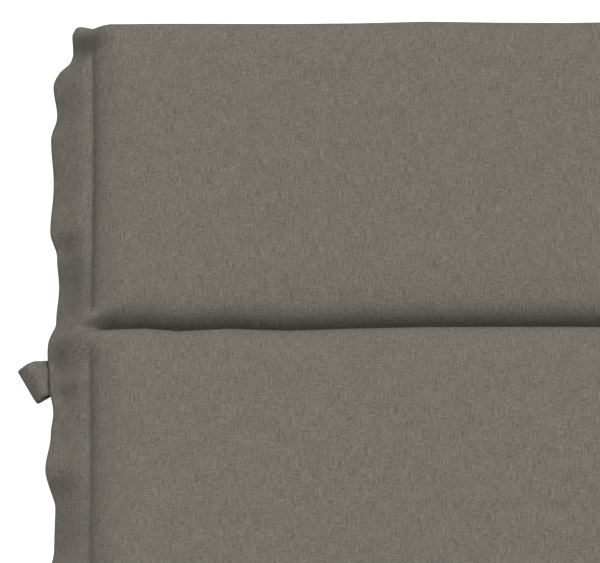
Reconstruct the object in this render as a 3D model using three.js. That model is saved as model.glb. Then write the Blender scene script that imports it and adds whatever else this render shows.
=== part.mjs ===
// A cushion for a sun lounger. A long cover of woven outdoor cloth holds slabs of foam. It is turned over
// at the head and foot ends, sewn across into equal filled sections, and its two long sides end in a loose
// rippled flange. A loop of tape is sewn under the flange at each side, just below the first channel.
// Millimetres. X runs across the cushion, +Y towards its head end, +Z up from the surface it lies on.

import * as THREE from "three";
import { mergeVertices } from "three/addons/utils/BufferGeometryUtils.js";

// Driving dimensions of the cushion
const LENGTH = 2000;
const SECTIONS = 9;
const FILLED_WIDTH = 536; // from side seam to side seam
const THICKNESS = 50; // in the middle of a section
const SEAM_HEIGHT = 24; // of the side seams and channels above the surface
const SEWN = 2.4; // the two layers of cloth where they are sewn together
const SHOULDER = 17; // how far the filling takes to reach its height from a side seam
const CHANNEL = 20; // the same from a channel, or from the head or foot end
const CROWN = 3; // how much the middle of a section stands above its shoulders
const PULL_IN = 0.8; // how much the filling draws the side seams in between the channels

// Driving dimensions of the flange
const LIP = 4; // how much it rises beside the seam before it turns down
const LIP_AT = 0.45; // where it does so, as a share of its reach
const PUFF = 2.2; // how much thicker than the seam it is at its fullest

// Driving dimensions of the tape loops
const TAPE_WIDTH = 25;
const TAPE = 1.6; // thickness
const LOOP_GAP = 3.6; // between its two layers
const LOOP_SLIT = 1; // the gap where they begin to part
const LOOP_LENGTH = 43.5; // from the seam to its fold
const LOOP_SEWN = 8; // the length of it that is sewn flat
const LOOP_OPENS = 18; // from the seam to where it is fully open
const LOOP_AT = 243; // the middle of its root, from the head end
const LOOP_DRIFT = 12; // how far its fold lies towards the foot end
const LOOP_TURN = THREE.MathUtils.degToRad(26.6); // of its fold from the side seam
const LOOP_REST = 3.6; // height of its middle at the fold
const CLEAR = 0.3; // between pieces that touch

// The edge of the flange, a row for each hump and dip from the head end: its place along the cushion, how
// far it reaches from the seam, and its height above the surface. The left one is seen at its head end.
const LEFT_RIPPLES = [
  { at: 0, reach: 12, height: 25 },
  { at: 15, reach: 14, height: 20 },
  { at: 37, reach: 27, height: 14 },
  { at: 60, reach: 24.3, height: 9 },
  { at: 79, reach: 29, height: 14 },
  { at: 111, reach: 27, height: 10 },
  { at: 148, reach: 29.5, height: 18 },
  { at: 163, reach: 24, height: 6 },
  { at: 182, reach: 23, height: 5 },
  { at: 205, reach: 24.8, height: 9 },
  { at: 231, reach: 31, height: 20 },
  { at: 260, reach: 30.5, height: 18 },
  { at: 277, reach: 27.7, height: 12 },
  { at: 293, reach: 29.7, height: 15 },
  { at: 320, reach: 33.5, height: 21 },
  { at: 344, reach: 26, height: 6 },
  { at: 372, reach: 27, height: 8 },
];
const RIGHT_RIPPLES = [
  { at: 0, reach: 13, height: 25 },
  { at: 13, reach: 14.5, height: 19 },
  { at: 40, reach: 27.5, height: 12 },
  { at: 74, reach: 30, height: 18 },
  { at: 98, reach: 24, height: 7 },
  { at: 132, reach: 28.5, height: 15 },
  { at: 160, reach: 24.5, height: 8 },
  { at: 196, reach: 27, height: 12 },
  { at: 234, reach: 31, height: 20 },
  { at: 262, reach: 29.5, height: 17 },
  { at: 296, reach: 24, height: 7 },
];

// Small hollows in the left flange: place along the cushion and across from the seam, depth and radius
const DENTS = [
  { at: 8, across: 7, depth: 8, radius: 10 },
  { at: 161, across: 17, depth: 2.5, radius: 9 },
  { at: 238, across: 20, depth: 2.5, radius: 9 },
  { at: 264, across: 18, depth: 2, radius: 8 },
  { at: 334, across: 21, depth: 2.5, radius: 9 },
];

// The ripples that don't show in the photo go on in the same uneven way
const RIPPLE_GAP = 33;
const RIPPLE_UNEVEN = 11;
const HUMP = { reach: 29, height: 17 };
const DIP = { reach: 24.5, height: 8 };
const SWAY = { reach: 2.2, height: 3.5 };

// The places along and across the cushion where the surface has its points
const ALONG_HALF_SECTION = [0, 3, 8, 14, 21, 36, 51, 66, 81, 96];
const ACROSS_FLANGE = [1, 0.3];
const ACROSS_BODY = [0, 2.5, 8, 17, 120];

const COLOUR = 0x75726a;
const ROUGHNESS = 0.95;

const pitch = LENGTH / SECTIONS;

function ripples(shown, phase) {
  const rows = [...shown];
  let at = shown.at(-1).at + RIPPLE_GAP;
  for (let k = 0; at < LENGTH - 2 * RIPPLE_GAP; k += 1) {
    const turn = k % 2 === 0 ? HUMP : DIP;
    const sway = Math.sin(2.4 * k + phase);
    rows.push({ at, reach: turn.reach + SWAY.reach * sway, height: turn.height + SWAY.height * sway });
    at += RIPPLE_GAP + RIPPLE_UNEVEN * Math.sin(1.7 * k + phase);
  }
  // The foot corner is like the head corner
  for (const row of shown.slice(0, 3).reverse()) {
    rows.push({ ...row, at: LENGTH - row.at });
  }
  return rows;
}

const FLANGES = [
  { side: -1, rows: ripples(LEFT_RIPPLES, 0.4), dents: DENTS },
  { side: 1, rows: ripples(RIGHT_RIPPLES, 2.1), dents: [] },
];

// The flange's reach and height at a place, eased from row to row
function edgeAt(rows, at) {
  const next = Math.max(1, rows.findIndex((row) => row.at >= at));
  const a = rows[next - 1];
  const b = rows[next];
  const share = (at - a.at) / (b.at - a.at);
  const eased = 0.5 - 0.5 * Math.cos(Math.PI * share);
  return { reach: a.reach + (b.reach - a.reach) * eased, height: a.height + (b.height - a.height) * eased };
}

// From 0 at a seam to 1 where the filling has its height
function roundOver(distance, radius) {
  const short = 1 - Math.min(distance / radius, 1);
  return Math.sqrt(1 - short * short);
}

// How full a section is at a place along the cushion: 0 at its channels, and 1 in its middle
function swell(at) {
  return Math.sin((Math.PI * at) / pitch) ** 2;
}

function seamX(at) {
  return FILLED_WIDTH / 2 - PULL_IN * swell(at);
}

// A point of the filled body, that far in from the side seam; face is 1 on top and -1 below
function bodyPoint(side, inward, at, face) {
  const x = seamX(at) * (1 - inward / (FILLED_WIDTH / 2));
  const toChannel = Math.abs(at - pitch * Math.round(at / pitch));
  const full = roundOver(inward, SHOULDER) * roundOver(toChannel, CHANNEL);
  const flat = SEAM_HEIGHT - SEWN / 2;
  const crown = CROWN * swell(at) * (1 - (x / seamX(at)) ** 2);
  const top = SEAM_HEIGHT + SEWN / 2 + (THICKNESS - CROWN - SEAM_HEIGHT - SEWN / 2) * full + crown;
  return new THREE.Vector3(side * x, LENGTH / 2 - at, face > 0 ? top : flat * (1 - full));
}

// A point of the flange, at a share of its width from the seam
function flangePoint(flange, share, at, face) {
  const edge = edgeAt(flange.rows, at);
  const curve = new THREE.QuadraticBezierCurve(
    new THREE.Vector2(0, SEAM_HEIGHT),
    new THREE.Vector2(LIP_AT * edge.reach, SEAM_HEIGHT + LIP),
    new THREE.Vector2(edge.reach, edge.height),
  );
  const middle = curve.getPoint(share);
  const along = curve.getTangent(share);
  for (const dent of flange.dents) {
    const away = Math.hypot(at - dent.at, middle.x - dent.across) / dent.radius;
    middle.y -= dent.depth * Math.exp(-away * away);
  }
  const half = (face * (SEWN + PUFF * Math.sin(Math.PI * Math.sqrt(share)))) / 2;
  const x = seamX(at) + middle.x - along.y * half;
  return new THREE.Vector3(flange.side * x, LENGTH / 2 - at, middle.y + along.x * half);
}

// The points across the cushion, from the left edge to the right one
function stationsAcross() {
  const [left, right] = FLANGES.map((flange) => [
    ...ACROSS_FLANGE.map((share) => (at, face) => flangePoint(flange, share, at, face)),
    ...ACROSS_BODY.map((inward) => (at, face) => bodyPoint(flange.side, inward, at, face)),
  ]);
  const middle = (at, face) => bodyPoint(1, FILLED_WIDTH / 2, at, face);
  return [...left, middle, ...right.reverse()];
}

// The places along the cushion, from the foot end to the head end
function stationsAlong() {
  const places = [];
  for (let section = 0; section < SECTIONS; section += 1) {
    const start = section * pitch;
    places.push(...ALONG_HALF_SECTION.map((step) => start + step), start + pitch / 2);
    places.push(...ALONG_HALF_SECTION.slice(1).reverse().map((step) => start + pitch - step));
  }
  places.push(LENGTH);
  return places.reverse();
}

function closed(geometry) {
  geometry.deleteAttribute("uv");
  geometry.deleteAttribute("normal");
  const merged = mergeVertices(geometry, 1e-4);
  merged.computeVertexNormals();
  return merged;
}

// A block with a point for each station is moved onto the cover's two faces
function cushionGeometry() {
  const across = stationsAcross();
  const along = stationsAlong();
  const columns = across.length - 1;
  const rows = along.length - 1;
  const block = new THREE.BoxGeometry(columns, rows, 2, columns, rows, 1);
  const points = block.getAttribute("position");
  for (let i = 0; i < points.count; i += 1) {
    const column = Math.round(points.getX(i) + columns / 2);
    const row = Math.round(points.getY(i) + rows / 2);
    const point = across[column](along[row], points.getZ(i));
    points.setXYZ(i, point.x, point.y, point.z);
  }
  return closed(block);
}

// The loop's side view: x from the seam to the fold, y up
function loopOutline(sewn, open, start) {
  const fold = LOOP_LENGTH - LOOP_GAP / 2 - TAPE;
  const shape = new THREE.Shape();
  shape.moveTo(start, sewn);
  shape.lineTo(start, -sewn);
  shape.lineTo(LOOP_SEWN, -sewn);
  shape.lineTo(LOOP_OPENS, -open);
  shape.lineTo((LOOP_OPENS + fold) / 2, -open);
  shape.absarc(fold, 0, open, -Math.PI / 2, Math.PI / 2, false);
  shape.lineTo((LOOP_OPENS + fold) / 2, open);
  shape.lineTo(LOOP_OPENS, open);
  shape.lineTo(LOOP_SEWN, sewn);
  shape.closePath();
  return shape;
}

// The loop for the right side: it comes down from under the flange, and drifts towards the foot end
function loopGeometry() {
  const outline = loopOutline(TAPE, LOOP_GAP / 2 + TAPE, 0);
  outline.holes.push(loopOutline(LOOP_SLIT / 2, LOOP_GAP / 2, LOOP_SEWN));
  const tape = new THREE.ExtrudeGeometry(outline, {
    depth: TAPE_WIDTH,
    steps: 3,
    curveSegments: 8,
    bevelEnabled: false,
  });
  const points = tape.getAttribute("position");
  const root = SEAM_HEIGHT - SEWN / 2 - CLEAR - TAPE;
  for (let i = 0; i < points.count; i += 1) {
    const share = points.getX(i) / LOOP_LENGTH;
    const toFoot = points.getZ(i) - TAPE_WIDTH / 2;
    const turn = LOOP_TURN * share;
    const out = FILLED_WIDTH / 2 + 2 * CLEAR + points.getX(i) - toFoot * Math.sin(turn);
    const at = LOOP_AT + LOOP_DRIFT * share ** 2 + toFoot * Math.cos(turn);
    const middle = LOOP_REST + (root - LOOP_REST) * (1 - share) ** 1.3;
    points.setXYZ(i, out, LENGTH / 2 - at, middle + points.getY(i));
  }
  return closed(tape);
}

function cloth(name, geometry) {
  const material = new THREE.MeshStandardMaterial({ color: COLOUR, roughness: ROUGHNESS, metalness: 0 });
  const mesh = new THREE.Mesh(geometry, material);
  mesh.name = name;
  return mesh;
}

const cushion = new THREE.Group();
cushion.add(cloth("cushion", cushionGeometry()));
cushion.add(cloth("tie_loop_right", loopGeometry()));
const leftLoop = cloth("tie_loop_left", loopGeometry());
leftLoop.scale.x = -1;
cushion.add(leftLoop);

export default cushion;
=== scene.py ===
import math

import bmesh
import bpy
from mathutils import Matrix, Vector, noise


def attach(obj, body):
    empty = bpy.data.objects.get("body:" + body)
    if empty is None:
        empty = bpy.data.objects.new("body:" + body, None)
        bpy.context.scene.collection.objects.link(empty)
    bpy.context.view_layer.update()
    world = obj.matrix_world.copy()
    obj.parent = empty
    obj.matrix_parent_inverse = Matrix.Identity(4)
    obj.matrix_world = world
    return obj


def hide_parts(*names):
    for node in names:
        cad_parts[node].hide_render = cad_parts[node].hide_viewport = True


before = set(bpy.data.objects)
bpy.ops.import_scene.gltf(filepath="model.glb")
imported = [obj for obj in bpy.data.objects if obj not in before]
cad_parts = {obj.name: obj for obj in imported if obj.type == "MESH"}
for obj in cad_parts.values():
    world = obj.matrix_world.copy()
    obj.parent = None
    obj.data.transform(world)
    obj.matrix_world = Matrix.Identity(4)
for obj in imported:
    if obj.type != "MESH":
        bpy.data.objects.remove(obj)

bl_info = {
    "name": "Sun lounger cushion",
    "version": (1, 0, 0),
    "blender": (4, 5, 0),
    "location": "3D View > Sidebar > Cushion",
    "description": "A sewn lounger cushion with rippled flanges and tape loops, and its studio",
    "category": "Object",
}

MM = 0.001


# Sizes and colours that a user would change


def length_prop(name, description, mm):
    return bpy.props.FloatProperty(
        name=name,
        description=description,
        default=mm * MM,
        unit="LENGTH",
        subtype="DISTANCE",
        precision=4,
    )


def colour_prop(name, description, text):
    return bpy.props.FloatVectorProperty(
        name=name,
        description=description,
        default=linear(text),
        subtype="COLOR",
        size=4,
        min=0,
        max=1,
    )


def linear(text):
    """An sRGB hex colour as linear red, green, blue and alpha."""
    channels = [int(text[i : i + 2], 16) / 255 for i in (1, 3, 5)]
    return [c / 12.92 if c <= 0.04045 else ((c + 0.055) / 1.055) ** 2.4 for c in channels] + [1.0]


class CushionSizes(bpy.types.PropertyGroup):
    length: length_prop("Length", "From the head end to the foot end", 2000)
    sections: bpy.props.IntProperty(
        name="Sections", description="Filled sections between channels", default=9
    )
    filled_width: length_prop("Filled width", "From side seam to side seam", 536)
    thickness: length_prop("Thickness", "In the middle of a section", 50)
    seam_height: length_prop("Seam height", "Of the side seams and channels above the surface", 24)
    sewn: length_prop("Sewn layers", "Thickness of both layers of cloth where they are sewn", 2.4)
    shoulder: length_prop("Shoulder", "How far from a side seam the filling has its height", 17)
    channel: length_prop("Channel", "How far from a channel the filling has its height", 20)
    crown: length_prop("Crown", "How much the middle of a section stands above its shoulders", 3)
    pull_in: length_prop("Pull-in", "How much the side seams are drawn in between channels", 0.8)
    lip: length_prop("Lip", "How much the flange rises beside the seam", 0.7)
    puff: length_prop("Puff", "How far each layer of the flange stands out beside the seam", 0.4)


class LoopSizes(bpy.types.PropertyGroup):
    width: length_prop("Width", "Of the tape", 25)
    tape: length_prop("Thickness", "Of one layer of the tape", 1.6)
    gap: length_prop("Gap", "Between the two layers", 3.6)
    length: length_prop("Length", "From the seam to the fold", 43.5)
    place: length_prop("Place", "Of the middle of the root, from the head end", 247.5)
    drift: length_prop("Drift", "How far the fold lies towards the foot end", 7.9)
    rest: length_prop("Rest height", "Of the middle of the loop at its fold", 3.6)
    lift: length_prop("Lift", "Of the corner of the fold that points to the head end", 4.5)


class ClothColours(bpy.types.PropertyGroup):
    dark_yarn: colour_prop("Dark yarn", "The darker yarn of the melange", "#68645c")
    light_yarn: colour_prop("Light yarn", "The lighter yarn of the melange", "#87837a")


class StageSizes(bpy.types.PropertyGroup):
    tilt: bpy.props.FloatProperty(
        name="Tilt",
        description="Of the view from the cushion's face, towards the foot end",
        default=math.radians(24.5),
        subtype="ANGLE",
    )
    distance: length_prop("Distance", "From the camera to the cushion", 12000)
    picture: length_prop("Picture width", "What the camera takes in from side to side", 400.2)
    left: length_prop("Left", "From the left seam to the middle of the picture", 137.1)
    below: length_prop("Below", "From the head end to the middle of the picture, as it is seen", 171.7)


# The form of the cover: all its lengths are in millimetres

# Edge of the flange: place along the cushion, reach beyond the filled width, height above the surface
LEFT_RIPPLES = [
    {"at": 0, "reach": 7.5, "height": 26.5},
    {"at": 1.4, "reach": 10.7, "height": 29},
    {"at": 3.6, "reach": 12.8, "height": 31},
    {"at": 8, "reach": 14.6, "height": 29},
    {"at": 15, "reach": 14.2, "height": 23},
    {"at": 40, "reach": 27, "height": 16.3},
    {"at": 60, "reach": 24.3, "height": 13.3},
    {"at": 79, "reach": 28.4, "height": 16.3},
    {"at": 111, "reach": 26.4, "height": 14.3},
    {"at": 148, "reach": 28.6, "height": 18.3},
    {"at": 163, "reach": 24, "height": 13.8},
    {"at": 182, "reach": 22.4, "height": 8.2},
    {"at": 207, "reach": 24.2, "height": 8.7},
    {"at": 233, "reach": 30.2, "height": 19},
    {"at": 260, "reach": 28.4, "height": 16.3},
    {"at": 277, "reach": 25.8, "height": 14.3},
    {"at": 293, "reach": 27.4, "height": 15.3},
    {"at": 320, "reach": 31, "height": 17.3},
    {"at": 344, "reach": 24, "height": 12.3},
    {"at": 372, "reach": 24.6, "height": 8},
]
RIGHT_RIPPLES = [
    {"at": 0, "reach": 7, "height": 26.5},
    {"at": 1.5, "reach": 10.5, "height": 29},
    {"at": 4, "reach": 12.9, "height": 31},
    {"at": 8, "reach": 14.4, "height": 28},
    {"at": 14, "reach": 14.5, "height": 23},
    {"at": 40, "reach": 27.5, "height": 15.3},
    {"at": 74, "reach": 30, "height": 18.3},
    {"at": 98, "reach": 24, "height": 12.3},
    {"at": 132, "reach": 28.5, "height": 16.3},
    {"at": 160, "reach": 24.5, "height": 12.3},
    {"at": 196, "reach": 27, "height": 14.3},
    {"at": 234, "reach": 31, "height": 19.3},
    {"at": 262, "reach": 29.5, "height": 17.3},
    {"at": 296, "reach": 24, "height": 11.3},
]
# Beyond the rows given, humps and dips take turns: their gaps, how unevenly, and how much they differ
RIPPLE_GAP = 33
RIPPLE_UNEVEN = 11
HUMP = {"reach": 29, "height": 17.5}
DIP = {"reach": 24.5, "height": 12.5}
SWAY = {"reach": 2.2, "height": 2.5}
FORM_TURN, GAP_TURN = 2.4, 1.7
PHASE = {-1: 0.4, 1: 2.1}
# The rows of the head corner that the foot corner repeats
END_ROWS = 6

# Hollows: place along, across from the seam (below 0 on its filled side), depth, and radius each way
LEFT_HOLLOWS = [
    {"at": 160, "across": 17, "depth": 4.5, "long": 8, "wide": 7},
    {"at": 190, "across": 12, "depth": 5, "long": 17, "wide": 9},
    {"at": 239.5, "across": 22.5, "depth": 10, "long": 10.5, "wide": 9},
    {"at": 267, "across": 17, "depth": 6.5, "long": 6, "wide": 9},
    {"at": 335, "across": 22, "depth": 7, "long": 8, "wide": 8},
]
CORNER_HOLLOWS = [
    {"at": 16, "across": 4.5, "depth": 10, "long": 6.5, "wide": 8},
    {"at": 23, "across": 13, "depth": 7, "long": 7, "wide": 7},
]
# One before each dip that is carried on
DIP_HOLLOW = {"before": 11, "across": 18, "depth": 3.5, "long": 9, "wide": 8}
# Where each channel meets the side seams: after is the place past the channel's line
CHANNEL_HOLLOWS = [
    {"after": -1.5, "across": -7, "depth": 6.5, "long": 5, "wide": 9},
    {"after": 1, "across": 0, "depth": 5.5, "long": 3.5, "wide": 7},
]

# Cloth drawn up where the side seam is lost: in the corners and beside the channels
CORNER_RISE = {"height": 6, "rises": 6, "stays": 8, "fades": 12}
CHANNEL_RISE = {"height": 8.5, "before": 11, "after": 21, "across": 8, "left_at_edge": 0.6}

# How far the head edge and the first channel wander towards the foot end, from left to right
WANDERING = {
    0: [
        {"x": -268, "shift": 0},
        {"x": -225, "shift": -0.8},
        {"x": -110, "shift": -0.6},
        {"x": -60, "shift": -2.4},
        {"x": -10, "shift": -2},
        {"x": 10, "shift": -1.2},
        {"x": 45, "shift": -1.4},
        {"x": 75, "shift": -2.2},
        {"x": 180, "shift": -0.9},
        {"x": 268, "shift": 0},
    ],
    1: [
        {"x": -264, "shift": 2},
        {"x": -254, "shift": 1},
        {"x": -246, "shift": 0.6},
        {"x": -234, "shift": 0.1},
        {"x": -211, "shift": 2.1},
        {"x": -184, "shift": 0.2},
        {"x": -170, "shift": 0.4},
        {"x": -146, "shift": 1.9},
        {"x": -118, "shift": 0.9},
        {"x": -101, "shift": 0.2},
        {"x": -50, "shift": -1},
        {"x": 60, "shift": -1.2},
        {"x": 150, "shift": 0.4},
        {"x": 268, "shift": -0.7},
    ],
}
# The other channels and the foot end: how far they wander, over what length, and what sets each apart
CHANNEL_SWAY = 2.4
SWAY_LENGTH = 38
SWAY_STEP = 7.3
# How far into the sections the cloth wanders along
WANDER_FADE = 45

# Form of the flange between its seam and its edge: the lip beside the seam and the bend, as a share of
# the reach, from which it slopes down. Where no seam shows, the slope starts inside the seam
LIP_RISE = 6
LIP_SHARE = {"always": 0.2, "with_seam": 0.8}
FLANGE_BEND = 0.15
BEND_INSIDE = 4
BEND_SOFTNESS = 3.6
# From the first channel on, the flange has less lip and puff, and slopes from the seam
LATER = {"from": 190, "over": 40, "inside": 0.8, "lip": 0.8, "puff": 0.4}
# How the layers part beside the groove, and where that ends
PUFF = {"rise": 2.5, "softer": 0.8, "softer_from": 150, "over": 30, "from_groove": 1.6, "ends": 12}
# The hem is a little thicker, and round at its edge
HEM = {"thicker": 0.5, "round_from": 0.95, "round_over": 0.05}
# Near the seam the layers part straight up and down, and then square to the slope
SQUARE_FROM = 4
SLOPE_STEP = 0.2
# What the tape keeps clear of: so many half thicknesses below the flange's middle, and soon nothing
# beyond its edge
UNDERSIDE = {"halves": 1.3, "opens": 8}

# How far in from a side seam the filling takes to rise where no seam shows
SOFT_AT_END = 14
SOFT_AT_CHANNEL = 10
# Form of the filling beside a channel: the round of its floor and, before and after its line, the flat
# part of the floor, how much longer the rise is than the channel's size, and how square it is
CHANNEL_FLOOR = 4.5
CHANNEL_SIDES = {
    "before": {"flat": 1, "spread": 0, "power": 2.6},
    "after": {"flat": 0, "spread": 3, "power": 3.2},
}

# The side seams: how much higher and further out than the ends they lie, and where they show
SEAM_RAISE = {"height": 9.5, "from_end": 12, "across": 14}
SEAM_DRIFT = {"at_first": 1.2, "later": 0.9, "from": 205, "over": 35}
SEAM_SHOWS = {"from_end": 14, "over": 16}
# How far from the head and foot ends the sewn layers close
LAYERS_CLOSE = 4
# The groove along them: its floor in the first section, and how much wider it is beyond, with a sway
GROOVE = {"floor": 1.5, "wider": 1.4, "over": 20, "steady": 0.75, "sway": 0.25, "length": 47}
# How much the stitches press the layers together, and how far beyond the groove
PINCH = {"share": 0.65, "beyond": 1.4}

# Where the points lie: shares of the flange's reach, steps in from a side seam, and from a channel
FLANGE_SHARES = [1, 0.99, 0.96, 0.9, 0.82, 0.73, 0.64, 0.55, 0.46, 0.38, 0.31, 0.25]
FLANGE_SHARES += [0.2, 0.15, 0.1, 0.06, 0.03]
BODY_STEPS = [0, 0.8, 1.8, 3, 4.6, 6.6, 9, 12, 16, 23, 36, 58, 90, 130, 175, 222]
CHANNEL_STEPS = [0, 0.7, 1.4, 2.1, 2.9, 4, 5.5, 7.5, 10, 13, 16.5, 20]
MID_STEP = 3.4
# Points closer than this are one, and the underside lies this far beside the top in the UV map
MERGED = 0.01 * MM
UV_ASIDE = 3

# The strip of tape: points along and across it, what it keeps clear of the flange, and its fold, with
# its share of the points
TAPE_STEPS, TAPE_COLUMNS = 44, 8
TAPE_CLEAR = 0.4
FOLD_LENGTH = 9 * MM
FOLD_SHARE = 0.25
# Its root's distance from the seam, its turn towards the foot end, and how its height falls
TAPE_ROOT = 0.6 * MM
TAPE_TURN = math.radians(32)
TAPE_FALL = 0.6
# The layers lie together at the root, at this share of the tape's thickness, and part further out
LAYERS_TOGETHER = 0.55
LAYERS_PART = {"from": 6 * MM, "over": 12 * MM}
# The part under the flange lies nearer to the head end, and the lower layer more so
TAPE_BACK = {"by": 0.8 * MM, "until": 0.66, "over": 0.25}
LOWER_BACK = {"by": 3.5, "until": 0.62, "over": 0.22}
LOWER_FORWARD = 0.8
# Where the corner of the fold begins to lift, as a share of the loop's length
TAPE_LIFTS = {"from": 0.5, "over": 0.25}

# The press of the filling on the cloth between the seams
HELD = {"width": 5, "fade": 14}
PRESSURE = 4
SLACK = 0.004
MOST_MOVED = 1.8 * MM
SIMULATED_FRAMES = 20


class Cover:
    """The outside of the cushion as points on its top and bottom, in millimetres."""

    def __init__(self, sizes):
        for name in CushionSizes.__annotations__:
            value = getattr(sizes, name)
            setattr(self, name, value if name == "sections" else value / MM)
        self.pitch = self.length / self.sections
        lines = [k * self.pitch for k in range(1, self.sections)]
        forms = [form | {"at": line + form["after"]} for line in lines for form in CHANNEL_HOLLOWS]
        self.hollows = {-1: LEFT_HOLLOWS + forms, 1: list(forms)}
        self.rows = {-1: self.ripples(-1, LEFT_RIPPLES), 1: self.ripples(1, RIGHT_RIPPLES)}

    def ripples(self, side, shown):
        """The rows shown, carried on in the same uneven way to a foot corner like the head corner."""
        rows = list(shown)
        at = shown[-1]["at"] + RIPPLE_GAP
        k = 0
        while at < self.length - 2 * RIPPLE_GAP:
            turn = DIP if k % 2 else HUMP
            sway = math.sin(FORM_TURN * k + PHASE[side])
            rows.append({"at": at} | {key: turn[key] + SWAY[key] * sway for key in turn})
            if turn is DIP:
                self.hollows[side].append(DIP_HOLLOW | {"at": at - DIP_HOLLOW["before"]})
            at += RIPPLE_GAP + RIPPLE_UNEVEN * math.sin(GAP_TURN * k + PHASE[side])
            k += 1
        return rows + [row | {"at": self.length - row["at"]} for row in reversed(shown[:END_ROWS])]

    def to_end(self, at):
        return min(at, self.length - at)

    def edge(self, side, at):
        """The reach of the flange from the side seam, and the height of its edge."""
        a, b, share = between(self.rows[side], "at", at)
        eased = 0.5 - 0.5 * math.cos(math.pi * share)
        reach, height = (a[key] + (b[key] - a[key]) * eased for key in ("reach", "height"))
        return reach + self.filled_width / 2 - self.seam_x(at), height

    def swell(self, at):
        """0 at the channels and ends, and 1 in the middle of a section."""
        return math.sin(math.pi * at / self.pitch) ** 2

    def seam_x(self, at):
        further = ease((at - SEAM_DRIFT["from"]) / SEAM_DRIFT["over"])
        drift = SEAM_DRIFT["at_first"] + SEAM_DRIFT["later"] * further
        return self.filled_width / 2 - self.pull_in * self.swell(at) + drift

    def seam_z(self, at, inward=0):
        """The height between the layers, which is raised at the side seams and where none shows."""
        to_end = self.to_end(at)
        lift = SEAM_RAISE["height"] * ease(to_end / SEAM_RAISE["from_end"])
        fading = ease((to_end - CORNER_RISE["stays"]) / CORNER_RISE["fades"])
        lift += CORNER_RISE["height"] * ease(to_end / CORNER_RISE["rises"]) * (1 - fading)
        drawn_up = CHANNEL_RISE["height"] * self.near_channel(at)
        drawn_up *= math.exp(-((inward / CHANNEL_RISE["across"]) ** 2))
        return self.seam_height + drawn_up + lift * math.exp(-((inward / SEAM_RAISE["across"]) ** 2))

    def layers(self, at):
        """How thick the sewn cloth is: it closes to nothing at the head and foot ends."""
        return self.sewn * min(1, self.to_end(at) / LAYERS_CLOSE) ** 0.5

    def near_channel(self, at):
        """1 at a channel, and 0 where the side seam is not changed by it."""
        number = round(at / self.pitch)
        if number in (0, self.sections):
            return 0
        past = at - number * self.pitch
        return math.exp(-((past / CHANNEL_RISE["after" if past > 0 else "before"]) ** 4))

    def sewn_down(self, at):
        """How strongly the side seam shows: it is lost in the corners and beside the channels."""
        from_end = ease((self.to_end(at) - SEAM_SHOWS["from_end"]) / SEAM_SHOWS["over"])
        return from_end * (1 - self.near_channel(at))

    def groove(self, at):
        """How wide the floor of the groove is on the side seam: it is narrow in the first section."""
        sway = GROOVE["steady"] + GROOVE["sway"] * math.sin(at / GROOVE["length"])
        return GROOVE["floor"] + GROOVE["wider"] * ease((at - self.pitch) / GROOVE["over"]) * sway

    def pinched(self, away, at):
        """The layers at a distance from the side seam, whose stitches press them together."""
        near = math.exp(-((away / (PINCH["beyond"] + self.groove(at))) ** 2))
        return self.layers(at) * (1 - PINCH["share"] * self.sewn_down(at) * near)

    def hollow(self, side, at, across):
        """How far the cloth sinks at a place."""
        depth = 0
        at_side = [(at, hollow) for hollow in self.hollows[side]]
        for near, hollow in at_side + [(self.to_end(at), hollow) for hollow in CORNER_HOLLOWS]:
            if abs(near - hollow["at"]) < 3 * hollow["long"]:
                long = (near - hollow["at"]) / hollow["long"]
                away = math.hypot(long, (across - hollow["across"]) / hollow["wide"])
                depth += hollow["depth"] * math.exp(-away * away)
        return depth

    def wander(self, x, at):
        """How far the nearest end or channel lies from its straight line, fading into the sections."""
        number = round(at / self.pitch)
        if number in WANDERING:
            a, b, share = between(WANDERING[number], "x", x)
            shift = a["shift"] + (b["shift"] - a["shift"]) * ease(share)
        else:
            shift = CHANNEL_SWAY * noise.noise((x / SWAY_LENGTH, number * SWAY_STEP, 0))
        return shift * (1 - ease(abs(at - number * self.pitch) / WANDER_FADE))

    def body(self, side, inward, at, face):
        """A point on the filled part, on its top (face above 0) or its underside."""
        x = self.seam_x(at) * (1 - inward / (self.filled_width / 2))
        past = at - self.pitch * round(at / self.pitch)
        to_channel = abs(past)
        is_end = at < self.pitch / 2 or at > self.length - self.pitch / 2
        full = round_over(to_channel, self.channel)
        if not is_end:
            form = CHANNEL_SIDES["after" if past > 0 else "before"]
            to_rise = math.hypot(max(0, to_channel - form["flat"]), CHANNEL_FLOOR) - CHANNEL_FLOOR
            full = round_over(to_rise, self.channel + form["spread"], form["power"])
        floor = self.groove(at)
        steep = round_over(math.hypot(inward, floor) - floor, self.shoulder)
        soft = math.sin(math.pi / 2 * min(1, inward / (SOFT_AT_END if is_end else SOFT_AT_CHANNEL)))
        full *= soft + (steep - soft) * self.sewn_down(at)
        half = self.pinched(inward, at) / 2
        crown = self.crown * self.swell(at) * (1 - (x / self.seam_x(at)) ** 2)
        hollow = self.hollow(side, at, -inward)
        if face > 0:
            low = self.seam_z(at, inward) + half
            z = low + (self.thickness - self.crown - low) * full + crown - hollow
        else:
            z = (self.seam_z(at, inward) - half - hollow) * (1 - full)
        return Vector((side * x, self.length / 2 - at - self.wander(side * x, at), z))

    def later(self, at):
        """0 in the first section and 1 from its channel on."""
        return ease((at - LATER["from"]) / LATER["over"])

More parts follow.
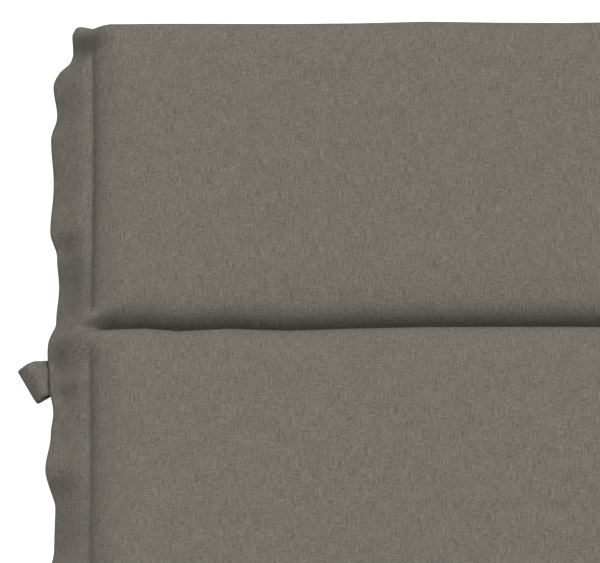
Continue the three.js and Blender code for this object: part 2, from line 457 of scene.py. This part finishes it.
    def flange_middle(self, side, out, at):
        """The middle of the flange's layers: a lip beside the seam, and from the bend on a slope."""
        reach, height = self.edge(side, at)
        height += CHANNEL_RISE["height"] * CHANNEL_RISE["left_at_edge"] * self.near_channel(at)
        shown = self.sewn_down(at)
        later = self.later(at)
        inside = BEND_INSIDE * max(1 - shown, LATER["inside"] * later)
        bend = FLANGE_BEND * reach * shown * (1 - later) - inside
        start = bent(-bend)
        fall = (bent(out - bend) - start) / (bent(reach - bend) - start)
        lip = self.lip * (LIP_SHARE["always"] + LIP_SHARE["with_seam"] * shown)
        lip *= 1 - LATER["lip"] * later
        top = self.seam_z(at) + lip
        z = top - lip * math.exp(-((out / LIP_RISE) ** 2)) - (top - height) * fall
        return Vector((out, z - self.hollow(side, at, out)))

    def flange_half(self, side, out, at):
        """Half the thickness of the flange, which puffs up beside the seam."""
        rise = PUFF["rise"] + PUFF["softer"] * ease((at - PUFF["softer_from"]) / PUFF["over"])
        puff = self.puff * (1 - LATER["puff"] * self.later(at)) * self.sewn_down(at)
        puff *= 1 - math.exp(-max(0, out - self.groove(at) / 2 - PUFF["from_groove"]) / rise)
        puff *= math.exp(-((out / PUFF["ends"]) ** 2))
        hem = HEM["thicker"] * out / self.edge(side, at)[0] * self.layers(at) / self.sewn
        return self.pinched(out, at) / 2 + puff + hem

    def flange(self, side, share, at, face):
        """A point on the flange, on its top (face above 0) or its underside."""
        out = self.edge(side, at)[0] * share
        middle = self.flange_middle(side, out, at)
        along = self.flange_middle(side, out + SLOPE_STEP, at)
        along -= self.flange_middle(side, max(0, out - SLOPE_STEP), at)
        along = Vector((1, 0)).lerp(along.normalized(), ease(out / SQUARE_FROM)).normalized()
        hem = math.sqrt(max(0, 1 - max(0, (share - HEM["round_from"]) / HEM["round_over"]) ** 2))
        half = face * self.flange_half(side, out, at) * hem
        x = self.seam_x(at) + middle.x - along.y * half
        place = self.length / 2 - at - self.wander(side * x, at)
        return Vector((side * x, place, middle.y + along.x * half))

    def under_flange(self, side, out, at):
        """The height of the flange's underside, and far above it beyond the edge."""
        reach = self.edge(side, at)[0]
        on_flange = min(out, reach)
        half = UNDERSIDE["halves"] * self.flange_half(side, on_flange, at)
        height = self.flange_middle(side, on_flange, at).y - half
        return height + UNDERSIDE["opens"] * max(0, out - reach)

    def across(self):
        """A function for each column of points, from the left edge to the right one."""
        sides = []
        for side in (-1, 1):
            flange = [lambda at, face, s=side, t=t: self.flange(s, t, at, face) for t in FLANGE_SHARES]
            body = [lambda at, face, s=side, t=t: self.body(s, t, at, face) for t in BODY_STEPS]
            sides.append(flange + body)
        middle = [lambda at, face: self.body(1, self.filled_width / 2, at, face)]
        return sides[0] + middle + sides[1][::-1]

    def along(self):
        """The places along the cushion, from the foot end to the head end."""
        places = []
        flat = self.pitch - 2 * CHANNEL_STEPS[-1]
        count = round(flat / MID_STEP)
        for section in range(self.sections):
            start = section * self.pitch
            places += [start + step for step in CHANNEL_STEPS]
            places += [start + CHANNEL_STEPS[-1] + flat * k / count for k in range(1, count)]
            places += [start + self.pitch - step for step in reversed(CHANNEL_STEPS[1:])]
        return sorted(places + [self.length], reverse=True)


def between(rows, key, value):
    """The rows on both sides of a value, and its share of the way from the one to the other."""
    k = max(1, next((i for i, row in enumerate(rows) if row[key] >= value), len(rows) - 1))
    a, b = rows[k - 1], rows[k]
    return a, b, min(max((value - a[key]) / (b[key] - a[key]), 0), 1)


def ease(share):
    """From 0 to 1 with a soft start and end."""
    share = min(max(share, 0), 1)
    return share * share * (3 - 2 * share)


def bent(distance):
    """Nothing before a bend and the distance beyond it, with a soft turn between."""
    return BEND_SOFTNESS * math.log1p(math.exp(distance / BEND_SOFTNESS))


def round_over(distance, radius, power=2):
    """From 0 at a seam to 1 where the filling has its height, squarer with more power."""
    short = 1 - min(distance / radius, 1)
    return max(0, 1 - short**power) ** (1 / power)


def laid_out(points):
    """How far each point lies along the cloth from the middle one, in metres."""
    reach = [0]
    for a, b in zip(points, points[1:]):
        reach.append(reach[-1] + (b - a).length * MM)
    return [r - reach[len(reach) // 2] for r in reach]


def grid_on(bm, across, along, face):
    """A grid of faces moved onto one side of the cover, as its points by their column and row."""
    columns, rows = len(across) - 1, len(along) - 1
    place = {}
    for vert in bmesh.ops.create_grid(bm, x_segments=columns, y_segments=rows, size=0.5)["verts"]:
        place[round((vert.co.x + 0.5) * columns), round((vert.co.y + 0.5) * rows)] = vert
    for (column, row), vert in place.items():
        vert.co = across[column](along[row], face) * MM
    return place


def filled_out(cover, across, along):
    """Lets the filling press the top of the cover out between its seams, which are held.

    Returns how far the point in each column and row moves, in metres. Every second row is simulated."""
    rows = along[::2]
    bm = bmesh.new()
    place = grid_on(bm, across, rows, 1)
    bm.verts.index_update()
    index = {key: vert.index for key, vert in place.items()}
    start = {vert.index: vert.co.copy() for vert in bm.verts}
    piece = finished("pressed_cloth", bm)
    held = piece.vertex_groups.new(name="Held")
    for (column, row), k in index.items():
        at = rows[row]
        from_seam = cover.seam_x(at) - abs(start[k].x) / MM
        from_channel = abs(at - cover.pitch * round(at / cover.pitch))
        loose = ease((min(from_seam, from_channel) - HELD["width"]) / HELD["fade"])
        held.add([k], 1 - loose, "REPLACE")
    cloth = piece.modifiers.new("Pressed cloth", "CLOTH")
    cloth.settings.quality = 4
    cloth.settings.mass = 0.3
    cloth.settings.tension_stiffness = cloth.settings.compression_stiffness = 20
    cloth.settings.bending_stiffness = 0.3
    cloth.settings.vertex_group_mass = "Held"
    cloth.settings.use_pressure = True
    cloth.settings.uniform_pressure_force = PRESSURE
    cloth.settings.shrink_min = -SLACK
    cloth.settings.effector_weights.gravity = 0
    cloth.point_cache.frame_start, cloth.point_cache.frame_end = 1, SIMULATED_FRAMES
    scene = bpy.context.scene
    for number in range(1, SIMULATED_FRAMES + 1):
        scene.frame_set(number)
    pressed = piece.evaluated_get(bpy.context.evaluated_depsgraph_get()).data.vertices
    moved = {}
    for key, k in index.items():
        move = pressed[k].co - start[k]
        length = MOST_MOVED * math.tanh(move.length / MOST_MOVED)
        moved[key] = move * (length / max(move.length, 1e-9))
    mesh = piece.data
    bpy.data.objects.remove(piece)
    bpy.data.meshes.remove(mesh)
    scene.frame_set(1)
    last = len(rows) - 1
    return {
        (column, row): (moved[column, row // 2] + moved[column, min((row + 1) // 2, last)]) / 2
        for column in range(len(across))
        for row in range(len(along))
    }


def lay_cloth(bm, uv, place, across, along, cover_middle, face):
    """Lays the cloth of one side of the cover out flat in the UV map."""
    columns = len(across) - 1
    flat_across = laid_out([across[c](cover_middle, face) for c in range(columns + 1)])
    flat_along = laid_out([across[columns // 2](at, face) for at in along])
    shift = 0 if face > 0 else UV_ASIDE
    laid = {vert: (flat_across[c], flat_along[r] + shift) for (c, r), vert in place.items()}
    quads = list({quad for vert in place.values() for quad in vert.link_faces})
    for quad in quads:
        quad.smooth = True
        for loop in quad.loops:
            loop[uv].uv = laid[loop.vert]
    if face < 0:
        bmesh.ops.reverse_faces(bm, faces=quads)


def finished(name, bm, material=None):
    mesh = bpy.data.meshes.new(name)
    bm.to_mesh(mesh)
    bm.free()
    if material:
        mesh.materials.append(material)
    piece = bpy.data.objects.new(name, mesh)
    bpy.context.scene.collection.objects.link(piece)
    return piece


def smooth_surface(piece, levels):
    finish = piece.modifiers.new("Smooth cloth", "SUBSURF")
    finish.levels = finish.render_levels = levels


def folded_tape(bm, uv, sizes, cover, side):
    """A strip bent round into a loop that comes down from under the flange. Returns its flat length."""
    grid = bmesh.ops.create_grid(bm, x_segments=TAPE_COLUMNS, y_segments=TAPE_STEPS, size=0.5)
    path = loop_path(sizes)
    root = (cover.under_flange(side, 0, sizes.place / MM) - TAPE_CLEAR) * MM - sizes.tape
    placed = {}
    middles = [math.inf] * (TAPE_STEPS // 2 + 1)
    for vert in grid["verts"]:
        step = round((vert.co.y + 0.5) * TAPE_STEPS)
        layer_step = min(step, TAPE_STEPS - step)
        to_foot = vert.co.x * sizes.width
        share = path[step].x / sizes.length
        turn = TAPE_TURN * share
        from_seam = TAPE_ROOT + path[step].x - to_foot * math.sin(turn)
        at = sizes.place + sizes.drift * share**2 + to_foot * math.cos(turn)
        at -= TAPE_BACK["by"] * (1 - ease((share - TAPE_BACK["until"]) / TAPE_BACK["over"]))
        if step > TAPE_STEPS / 2:
            back = LOWER_BACK["by"] * (1 - ease((share - LOWER_BACK["until"]) / LOWER_BACK["over"]))
            at += (LOWER_FORWARD * share - back) * MM
        raised = ease((share - TAPE_LIFTS["from"]) / TAPE_LIFTS["over"])
        lift = sizes.lift * raised * ease(0.5 - vert.co.x)
        under = cover.under_flange(side, max(0, from_seam / MM), at / MM)
        clear = (under - TAPE_CLEAR) * MM - sizes.tape / 2
        arched = sizes.rest + (root - sizes.rest) * (1 - min(share, 1)) ** TAPE_FALL
        middles[layer_step] = min(middles[layer_step], clear - path[layer_step].y - lift, arched)
        placed[vert] = (step, to_foot, from_seam, at, lift)
    middles = evened(middles, min)
    middles = evened(middles, lambda near: sum(near) / len(near))
    for vert, (step, _, from_seam, at, lift) in placed.items():
        height = middles[min(step, TAPE_STEPS - step)] + lift + path[step].y
        x = side * (cover.filled_width / 2 * MM + from_seam)
        vert.co = (x, cover.length / 2 * MM - at, height)
    half_column = sizes.width / TAPE_COLUMNS / 2
    centre = {row[0]: vert.co for vert, row in placed.items() if abs(row[1]) < half_column}
    reach = [0]
    for step in range(TAPE_STEPS):
        reach.append(reach[-1] + (centre[step + 1] - centre[step]).length)
    for face in bm.faces:
        face.smooth = True
        for loop in face.loops:
            step, to_foot = placed[loop.vert][:2]
            loop[uv].uv = (to_foot, reach[step])
    bmesh.ops.recalc_face_normals(bm, faces=bm.faces)
    return reach[-1]


def evened(values, take):
    """Each value replaced by what is taken from it and its neighbours."""
    return [take(values[max(0, k - 1) : k + 2]) for k in range(len(values))]


def loop_path(sizes):
    """The loop's side view through the middle of the tape, from the seam out to the fold and back."""
    open_half = (sizes.gap + sizes.tape) / 2
    closed_half = sizes.tape * LAYERS_TOGETHER
    fold = sizes.length - FOLD_LENGTH - sizes.tape / 2
    path = []
    for k in range(TAPE_STEPS + 1):
        from_fold = abs(k - TAPE_STEPS / 2) / (TAPE_STEPS / 2)
        sign = 1 if k <= TAPE_STEPS / 2 else -1
        if from_fold < FOLD_SHARE:
            angle = math.pi / 2 * from_fold / FOLD_SHARE
            out, half = fold + FOLD_LENGTH * math.cos(angle), open_half * math.sin(angle)
        else:
            out = fold * (1 - (from_fold - FOLD_SHARE) / (1 - FOLD_SHARE))
            parted = ease((out - LAYERS_PART["from"]) / LAYERS_PART["over"])
            half = closed_half + (open_half - closed_half) * parted
        path.append(Vector((out, sign * half)))
    return path


# Materials

CLOTH_NAME = "Woven melange polyester"
# A yarn of the cover, drawn as coarse as it needs to show
YARN = 0.7 * MM
# Slubs about 14 yarns long along one set of threads, and 8 along the other
SLUB_SCALES = ((1, 0.07, 1), (0.13, 1, 1))
# Patches of the weave: their size in millimetres, and a shift that keeps them apart
PATCHES = ((14, 0), (9, 3), (6, 7))


def add(tree, kind, inputs=(), **settings):
    """Adds a node with its settings, and links or fills its inputs."""
    node = tree.nodes.new(kind)
    for key, value in settings.items():
        setattr(node, key, value)
    for key, value in dict(inputs).items():
        if isinstance(value, bpy.types.NodeSocket):
            tree.links.new(value, node.inputs[key])
        else:
            node.inputs[key].default_value = value
    return node


def woven_melange(name, colours):
    """Plain-woven polyester from melange yarn.

    To the eye it is matt grey-brown, speckled by darker and lighter yarns in short slubs both ways."""
    material = bpy.data.materials.get(name)
    if material:
        return material
    material = bpy.data.materials.new(name)
    material.use_nodes = True
    tree = material.node_tree
    tree.nodes.clear()
    cloth = add(tree, "ShaderNodeUVMap", uv_map="Cloth").outputs["UV"]
    to_yarns = {0: cloth, "Scale": 1 / YARN}
    cells = add(tree, "ShaderNodeVectorMath", to_yarns, operation="SCALE").outputs[0]
    crossing = add(tree, "ShaderNodeVectorMath", {0: cells}, operation="FLOOR").outputs[0]
    speckle = add(tree, "ShaderNodeTexWhiteNoise", {"Vector": crossing}, noise_dimensions="2D")
    threads = []
    for scale in SLUB_SCALES:
        vector = add(tree, "ShaderNodeMapping", {"Vector": cells, "Scale": scale}).outputs[0]
        pattern = {"Vector": vector, "Scale": 1, "Detail": 1}
        thread = add(tree, "ShaderNodeTexNoise", pattern, noise_dimensions="2D")
        threads.append(thread.outputs["Fac"])
    warp, weft = threads
    # Some patches show more of one set of threads, and some are calmer than others
    patches = []
    for size, shift in PATCHES:
        shifted = {"Vector": cloth, "Location": (shift, shift, 0)}
        vector = add(tree, "ShaderNodeMapping", shifted).outputs[0]
        pattern = {"Vector": vector, "Scale": 1 / (size * MM), "Detail": 1}
        patch = add(tree, "ShaderNodeTexNoise", pattern, noise_dimensions="2D")
        patches.append(patch.outputs["Fac"])
    to_weft = {"Value": patches[1], "From Min": 0.4, "From Max": 0.6, "To Max": 0.8}
    which = add(tree, "ShaderNodeMapRange", to_weft).outputs["Result"]
    both = {"Factor": which, "A": warp, "B": weft}
    slubs = add(tree, "ShaderNodeMix", both, data_type="FLOAT").outputs["Result"]
    sharper = {"Value": slubs, "From Min": 0.28, "From Max": 0.72}
    sharp = add(tree, "ShaderNodeMapRange", sharper).outputs["Result"]
    speckled = {"Factor": 0.5, "A": sharp, "B": speckle.outputs["Value"]}
    grained = add(tree, "ShaderNodeMix", speckled, data_type="FLOAT").outputs["Result"]
    to_calm = {"Value": patches[2], "From Min": 0.35, "From Max": 0.6, "To Min": 0.5}
    calm = add(tree, "ShaderNodeMapRange", to_calm).outputs["Result"]
    calmer = {"Factor": calm, "A": 0.5, "B": grained}
    clear = add(tree, "ShaderNodeMix", calmer, data_type="FLOAT").outputs["Result"]
    patchy = {"Factor": 0.1, "A": clear, "B": patches[0]}
    value = add(tree, "ShaderNodeMix", patchy, data_type="FLOAT").outputs["Result"]
    contrast = {"Value": value, "From Min": 0.24, "From Max": 0.76}
    ramp = add(tree, "ShaderNodeMapRange", contrast).outputs["Result"]
    colour = add(
        tree,
        "ShaderNodeMix",
        {"Factor": ramp, "A": list(colours.dark_yarn), "B": list(colours.light_yarn)},
        data_type="RGBA",
    )
    bump = add(tree, "ShaderNodeBump", {"Height": value, "Strength": 0.3, "Distance": 0.2 * MM})
    shader = add(
        tree,
        "ShaderNodeBsdfPrincipled",
        {
            "Base Color": colour.outputs["Result"],
            "Roughness": 0.95,
            "IOR": 1.45,
            "Specular IOR Level": 0.2,
            "Normal": bump.outputs["Normal"],
        },
    )
    add(tree, "ShaderNodeOutputMaterial", {"Surface": shader.outputs["BSDF"]})
    return material


# Pieces


class CUSHION_OT_cover(bpy.types.Operator):
    """Makes the filled cover with its channels and flanges"""

    bl_idname = "cushion.cover"
    bl_label = "Filled cover"

    def execute(self, context):
        scene = context.scene
        cover = Cover(scene.cushion_sizes)
        bm = bmesh.new()
        uv = bm.loops.layers.uv.new("Cloth")
        across, along = cover.across(), cover.along()
        for face in (1, -1):
            place = grid_on(bm, across, along, face)
            if face > 0:
                for key, move in filled_out(cover, across, along).items():
                    place[key].co += move
            lay_cloth(bm, uv, place, across, along, cover.pitch / 2, face)
        bmesh.ops.remove_doubles(bm, verts=bm.verts, dist=MERGED)
        piece = finished("filled_cover", bm, woven_melange(CLOTH_NAME, scene.cloth_colours))
        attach(piece, "root")
        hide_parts("cushion")
        return {"FINISHED"}


class CUSHION_OT_tie_loops(bpy.types.Operator):
    """Makes the loop of tape under each flange"""

    bl_idname = "cushion.tie_loops"
    bl_label = "Tie loops"

    def execute(self, context):
        scene = context.scene
        sizes = scene.loop_sizes
        cover = Cover(scene.cushion_sizes)
        material = woven_melange(CLOTH_NAME, scene.cloth_colours)
        for side, name in ((-1, "left"), (1, "right")):
            bm = bmesh.new()
            uv = bm.loops.layers.uv.new("Cloth")
            length = folded_tape(bm, uv, sizes, cover, side)
            piece = finished(f"folded_tape_{name}", bm, material)
            wall = piece.modifiers.new("Thickness", "SOLIDIFY")
            wall.thickness = sizes.tape
            wall.offset = 0
            smooth_surface(piece, 1)
            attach(piece, "root")
            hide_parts(f"tie_loop_{name}")
        return {"FINISHED"}


# The stage

FLOOR = {"half": 15, "below": 0.5 * MM}
# Where the lamp stands: high above, a little to the right and towards the head end
LIGHT_FROM = Vector((0.28, 0.25, 1))
SENSOR = 36


class CUSHION_OT_stage(bpy.types.Operator):
    """Makes the floor, the light and the camera"""

    bl_idname = "cushion.stage"
    bl_label = "Studio"

    def execute(self, context):
        scene = context.scene
        sizes = scene.stage_sizes
        bm = bmesh.new()
        bmesh.ops.create_grid(bm, x_segments=1, y_segments=1, size=FLOOR["half"])
        bmesh.ops.translate(bm, verts=bm.verts, vec=(0, 0, -FLOOR["below"]))
        # White paper, so bright of itself that the eye sees pure white ground without a shadow
        paper = bpy.data.materials.new("White paper")
        paper.use_nodes = True
        shader = paper.node_tree.nodes["Principled BSDF"]
        shader.inputs["Base Color"].default_value = linear("#b4b4b4")
        shader.inputs["Roughness"].default_value = 0.9
        shader.inputs["Emission Color"].default_value = (1, 1, 1, 1)
        shader.inputs["Emission Strength"].default_value = 1
        floor = finished("floor", bm, paper)
        floor.visible_diffuse = False

        # A weak, slightly warm light from all sides, which keeps the shaded slopes open
        world = bpy.data.worlds.new("Soft box")
        scene.world = world
        world.use_nodes = True
        sky = world.node_tree.nodes["Background"]
        sky.inputs["Color"].default_value = linear("#fffdf8")
        sky.inputs["Strength"].default_value = 0.36

        # One wide soft lamp, which shades the channels and the ripples
        key = bpy.data.lights.new("Key", "SUN")
        key.energy = 2.0
        key.color = linear("#fbfdff")[:3]
        key.angle = math.radians(50)
        lamp = bpy.data.objects.new("Key", key)
        scene.collection.objects.link(lamp)
        lamp.rotation_mode = "QUATERNION"
        lamp.rotation_quaternion = LIGHT_FROM.to_track_quat("Z", "Y")

        # The camera looks down from the foot side, square to the cushion's width
        camera = bpy.data.cameras.new("Camera")
        camera.sensor_width = SENSOR
        camera.lens = SENSOR * sizes.distance / sizes.picture
        eye = bpy.data.objects.new("Camera", camera)
        scene.collection.objects.link(eye)
        right = Vector((1, 0, 0))
        up = Vector((0, math.cos(sizes.tilt), math.sin(sizes.tilt)))
        back = right.cross(up)
        cushion = scene.cushion_sizes
        head = Vector((0, cushion.length / 2 - cushion.channel, cushion.seam_height))
        rise = math.hypot(cushion.channel * up.y, (cushion.thickness - cushion.seam_height) * up.z)
        middle = right * (sizes.left - cushion.filled_width / 2)
        middle += up * (head.dot(up) + rise - sizes.below)
        middle += back * (head - up * sizes.below).dot(back)
        turn = Matrix((right, up, back)).transposed().to_4x4()
        eye.matrix_world = Matrix.Translation(middle + back * sizes.distance) @ turn
        camera.clip_start, camera.clip_end = 0.1, 100
        scene.camera = eye
        scene.view_settings.view_transform = "Standard"
        return {"FINISHED"}


class CUSHION_PT_panel(bpy.types.Panel):
    bl_label = "Sun lounger cushion"
    bl_idname = "CUSHION_PT_panel"
    bl_space_type = "VIEW_3D"
    bl_region_type = "UI"
    bl_category = "Cushion"

    def draw(self, context):
        for group in SETTINGS:
            box = self.layout.box()
            for name in SETTINGS[group].__annotations__:
                box.prop(getattr(context.scene, group), name)
        for operator in OPERATORS:
            self.layout.operator(operator.bl_idname)


SETTINGS = {
    "cushion_sizes": CushionSizes,
    "loop_sizes": LoopSizes,
    "cloth_colours": ClothColours,
    "stage_sizes": StageSizes,
}
OPERATORS = [CUSHION_OT_cover, CUSHION_OT_tie_loops, CUSHION_OT_stage]


def register():
    for cls in [*SETTINGS.values(), *OPERATORS, CUSHION_PT_panel]:
        bpy.utils.register_class(cls)
    for name, cls in SETTINGS.items():
        setattr(bpy.types.Scene, name, bpy.props.PointerProperty(type=cls))


def unregister():
    for name in SETTINGS:
        delattr(bpy.types.Scene, name)
    for cls in reversed([*SETTINGS.values(), *OPERATORS, CUSHION_PT_panel]):
        bpy.utils.unregister_class(cls)


def main():
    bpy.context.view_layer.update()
    register()
    for operator in OPERATORS:
        group, name = operator.bl_idname.split(".")
        getattr(getattr(bpy.ops, group), name)()


if __name__ == "__main__":
    main()
